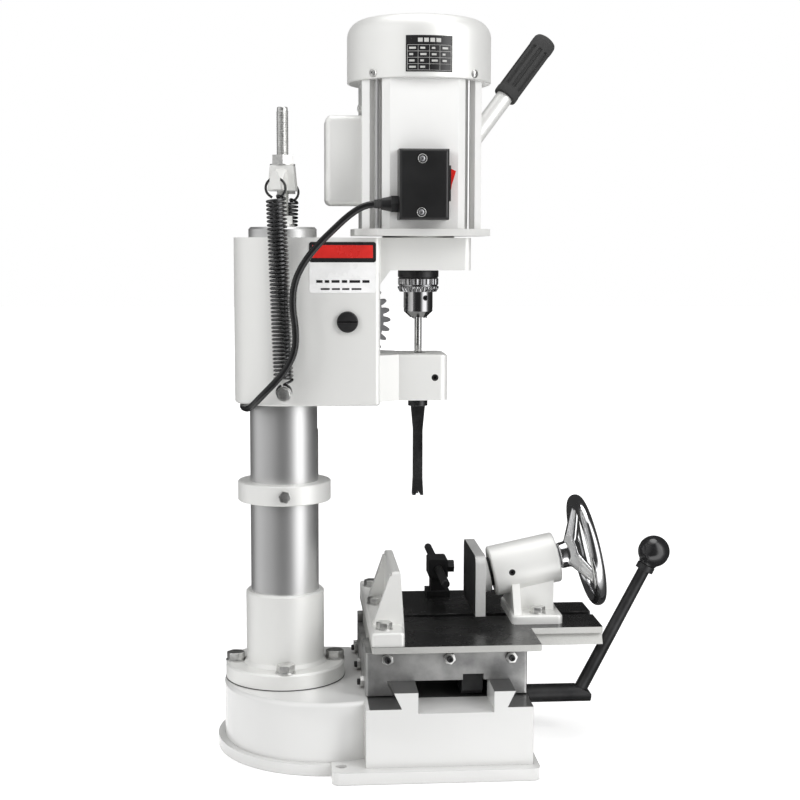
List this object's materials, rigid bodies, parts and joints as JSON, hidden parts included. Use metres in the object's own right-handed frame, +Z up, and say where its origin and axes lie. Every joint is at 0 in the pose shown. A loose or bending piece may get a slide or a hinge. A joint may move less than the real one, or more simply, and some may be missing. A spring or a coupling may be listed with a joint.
{
  "type": "benchtop mortiser",
  "caption": "Benchtop hollow-chisel mortiser with a lever-fed head on a column, a cross-sliding table, a tilted vise and a work stop.",
  "frame": {"origin": "on the bench, under the axis of the column", "axes": "+X from the column to the table and vise, +Y to the back, +Z up along the column"},
  "size_m": [0.544, 0.4355, 0.8587],
  "materials": {
    "white_enamel": "gloss enamel on cast iron",
    "motor_shell": "satin aluminium",
    "ground_steel": "ground and polished",
    "zinc_steel": "zinc plated",
    "grey_iron": "machined grey iron",
    "dark_iron": "dark oiled iron",
    "tool_steel": "hardened tool steel",
    "chuck_steel": "satin chrome",
    "polished_chrome": "polished",
    "black_steel": "black oxide",
    "black_plastic": "moulded",
    "red_plastic": "moulded",
    "black_rubber": "ribbed",
    "bronze": "bearing bronze"
  },
  "bodies": {
    "stand": {"base_casting": "white_enamel", "pinion_bushes": "bronze", "column_flange": "white_enamel", "column_bolts": "zinc_steel", "column": "ground_steel", "column_rack": "grey_iron", "tension_rod": "zinc_steel", "tension_nuts": "zinc_steel", "spring_yoke": "white_enamel", "balance_springs": "black_steel", "power_lead": "black_rubber", "lead_coil": "black_rubber", "plug": "black_plastic"},
    "depth_collar": {"depth_collar": "white_enamel", "collar_bolt": "zinc_steel"},
    "head": {"head_casting": "white_enamel", "spring_bolts": "zinc_steel", "nose_screw": "zinc_steel", "hollow_chisel": "tool_steel", "motor_plate": "white_enamel", "motor_housing": "motor_shell", "motor_bearings": "zinc_steel", "motor_stator": "grey_iron", "motor_tie_rods": "zinc_steel", "fan_cover": "white_enamel", "case_screws": "zinc_steel", "capacitor_box": "white_enamel", "capacitor": "black_plastic", "switch_box": "black_plastic", "cable_gland": "black_plastic"},
    "feed_lever": {"feed_gear": "grey_iron", "feed_shaft": "ground_steel", "lever_hub": "white_enamel", "lever_arm": "white_enamel", "lever_grip": "black_rubber"},
    "spindle": {"motor_rotor": "ground_steel", "cooling_fan": "black_plastic", "chuck_body": "chuck_steel", "chuck_jaws": "chuck_steel", "auger_bit": "tool_steel"},
    "chuck_sleeve": {"chuck_sleeve": "chuck_steel"},
    "switch_rocker": {"switch_rocker": "red_plastic"},
    "saddle": {"saddle": "grey_iron", "gib_strips": "grey_iron", "gib_screws": "zinc_steel", "saddle_rack": "black_steel"},
    "saddle_lever": {"pinion_shaft": "black_steel", "feed_arm": "black_steel", "arm_ball": "black_plastic"},
    "table": {"table_plate": "dark_iron", "clamp_bolts": "zinc_steel", "fence": "white_enamel", "vise_body": "white_enamel", "lock_screws": "black_steel", "stop_block": "black_steel"},
    "vise_wheel": {"vise_screw": "zinc_steel", "handwheel": "polished_chrome"},
    "vise_quill": {"vise_quill": "black_steel", "vise_jaw": "black_steel"},
    "stop_rod": {"stop_rod": "black_steel"}
  },
  "joints": [
    {"name": "head_slide", "type": "slide", "parent": "stand", "child": "head", "axis": [0, 0, -1], "range_m": [0, 0.085], "stiffness_N_per_m": 2400, "springref_m": -0.18, "deforming": ["balance_springs", "power_lead"]},
    {"name": "lever_turn", "type": "hinge", "parent": "head", "child": "feed_lever", "pos_m": [0.072, 0, 0.504], "axis": [0, 1, 0], "range_deg": [0, 100]},
    {"name": "spindle_turn", "type": "hinge", "parent": "head", "child": "spindle", "pos_m": [0.1575, 0, 0.6], "axis": [0, 0, 1], "continuous": true},
    {"name": "chuck_sleeve_turn", "type": "hinge", "parent": "spindle", "child": "chuck_sleeve", "pos_m": [0.1575, 0, 0.55], "axis": [0, 0, 1], "continuous": true},
    {"name": "rocker_tip", "type": "hinge", "parent": "head", "child": "switch_rocker", "pos_m": [0.1812, -0.084, 0.6585], "axis": [0, -1, 0], "range_deg": [0, 20]},
    {"name": "collar_slide", "type": "slide", "parent": "stand", "child": "depth_collar", "axis": [0, 0, -1], "range_m": [0, 0.1]},
    {"name": "saddle_slide", "type": "slide", "parent": "stand", "child": "saddle", "axis": [0, 1, 0], "range_m": [-0.044, 0.044]},
    {"name": "saddle_lever_turn", "type": "hinge", "parent": "stand", "child": "saddle_lever", "pos_m": [0.3, 0, 0.05], "axis": [1, 0, 0], "range_deg": [-85, 85]},
    {"name": "table_slide", "type": "slide", "parent": "saddle", "child": "table", "axis": [1, 0, 0], "range_m": [-0.015, 0.006]},
    {"name": "wheel_turn", "type": "hinge", "parent": "table", "child": "vise_wheel", "pos_m": [0.36818, 0.03, 0.21975], "axis": [-0.9781, 0, -0.2079], "range_deg": [-270, 1890]},
    {"name": "quill_slide", "type": "slide", "parent": "table", "child": "vise_quill", "axis": [-0.9781, 0, -0.2079], "range_m": [-0.0031, 0.0211]},
    {"name": "stop_rod_slide", "type": "slide", "parent": "table", "child": "stop_rod", "axis": [0, 1, 0], "range_m": [-0.02, 0.055]}
  ],
  "couplings": [
    {"joint": "lever_turn", "follows": "head_slide", "rad_per_m": 20.408},
    {"joint": "saddle_lever_turn", "follows": "saddle_slide", "rad_per_m": -33.333},
    {"joint": "quill_slide", "follows": "wheel_turn", "m_per_rad": 0.00063662}
  ]
}
